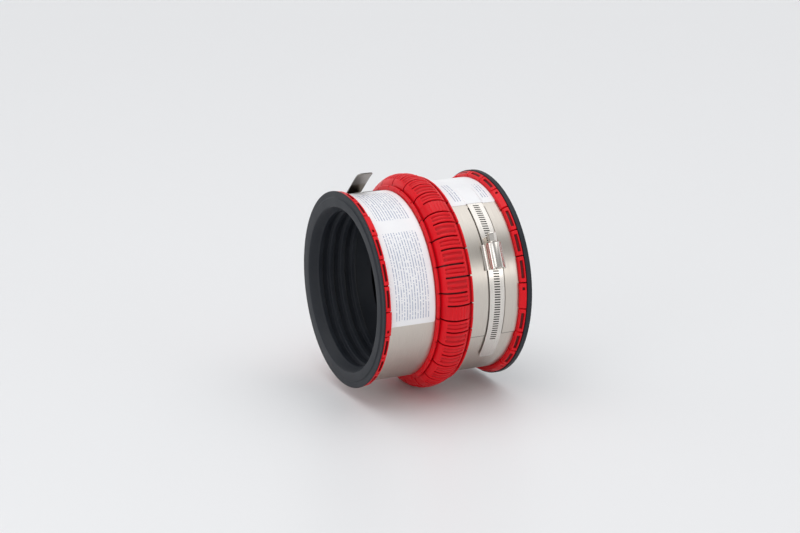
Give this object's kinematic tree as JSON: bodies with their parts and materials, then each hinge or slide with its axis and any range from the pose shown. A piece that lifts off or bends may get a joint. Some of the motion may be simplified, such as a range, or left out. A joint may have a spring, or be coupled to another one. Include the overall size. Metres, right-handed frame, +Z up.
{
  "type": "flexible pipe coupling",
  "caption": "Rubber sleeve pipe coupling that joins two pipes of different outside diameter, with an expanding slotted plastic cage and a worm-driven steel band clamp at each end.",
  "frame": {"origin": "on the pipe axis, in the middle of the cage's centre ring, where the two pipe ends meet", "axes": "+X along the pipe axis towards the wider pipe, +Z up, -Y towards the right clamp's screw"},
  "size_m": [0.163, 0.2224, 0.2297],
  "materials": {
    "rubber": "moulded rubber, satin, slightly dusty",
    "cage_plastic": "moulded red plastic, semi-gloss",
    "band_steel": "cold rolled stainless sheet, brushed around the band",
    "bright_steel": "bright pressed and turned stainless steel",
    "label": "white printed film"
  },
  "bodies": {
    "coupling": {"rubber_sleeve": "rubber", "cage_segment_1": "cage_plastic", "cage_segment_2": "cage_plastic", "cage_segment_3": "cage_plastic", "cage_segment_4": "cage_plastic", "cage_segment_5": "cage_plastic", "cage_segment_6": "cage_plastic", "left_band": "band_steel", "right_band": "band_steel", "left_saddle": "band_steel", "right_saddle": "band_steel", "left_housing": "bright_steel", "right_housing": "bright_steel", "left_label": "label"},
    "left_strap_set": {"left_strap": "band_steel", "left_fork_plate": "band_steel", "left_strap_welds": "band_steel"},
    "left_screw_body": {"left_screw": "bright_steel"},
    "right_strap_set": {"right_strap": "band_steel", "right_fork_plate": "band_steel", "right_strap_welds": "band_steel", "right_label": "label"},
    "right_screw_body": {"right_screw": "bright_steel"}
  },
  "joints": [
    {"name": "left_strap_travel", "type": "hinge", "parent": "coupling", "child": "left_strap_set", "pos_m": [-0.0485, 0, 0], "axis": [1, 0, 0], "range_deg": [-20, 14]},
    {"name": "left_screw_turn", "type": "hinge", "parent": "coupling", "child": "left_screw_body", "pos_m": [-0.0485, 0.0992, 0.02658], "axis": [0, 0.2588, -0.9659], "range_deg": [-3262, 4655]},
    {"name": "right_strap_travel", "type": "hinge", "parent": "coupling", "child": "right_strap_set", "pos_m": [0.0473, 0, 0], "axis": [1, 0, 0], "range_deg": [-20, 14]},
    {"name": "right_screw_turn", "type": "hinge", "parent": "coupling", "child": "right_screw_body", "pos_m": [0.0473, -0.09578, 0.04517], "axis": [0, 0.4266, 0.9045], "range_deg": [-3369, 4808]}
  ],
  "couplings": [
    {"joint": "left_screw_turn", "follows": "left_strap_travel", "ratio": -232.22},
    {"joint": "right_screw_turn", "follows": "right_strap_travel", "ratio": -239.86}
  ]
}
